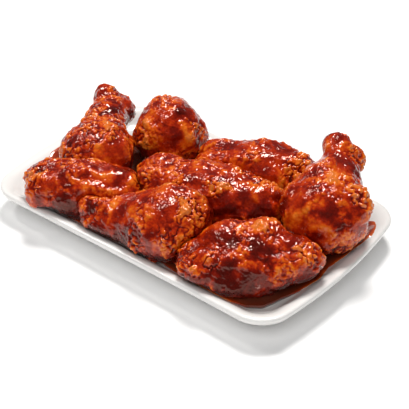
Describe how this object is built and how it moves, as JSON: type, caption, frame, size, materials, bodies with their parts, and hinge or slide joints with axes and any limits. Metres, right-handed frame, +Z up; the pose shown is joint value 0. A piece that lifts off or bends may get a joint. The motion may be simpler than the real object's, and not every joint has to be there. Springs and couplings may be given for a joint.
{
  "type": "chicken wings serving",
  "caption": "Serving of glazed chicken wings, drumettes and flats heaped on a white rectangular platter in pooled brown-red sauce.",
  "frame": {"origin": "middle of the platter in plan, on the surface that it stands on", "axes": "+X along the platter's length, +Y towards its back long side, +Z up"},
  "size_m": [0.2354, 0.1451, 0.065],
  "materials": {
    "platter": "smooth white glaze",
    "crust": "fried crust under a glossy red-brown glaze",
    "sauce": "thick glossy dark sauce"
  },
  "bodies": {
    "root": {"platter": "platter", "sauce_pool": "sauce", "drumette_back_left": "crust", "drumette_back": "crust", "flat_left": "crust", "drumette_front": "crust", "flat_middle": "crust", "flat_back": "crust", "flat_front": "crust", "drumette_right": "crust"}
  },
  "joints": []
}
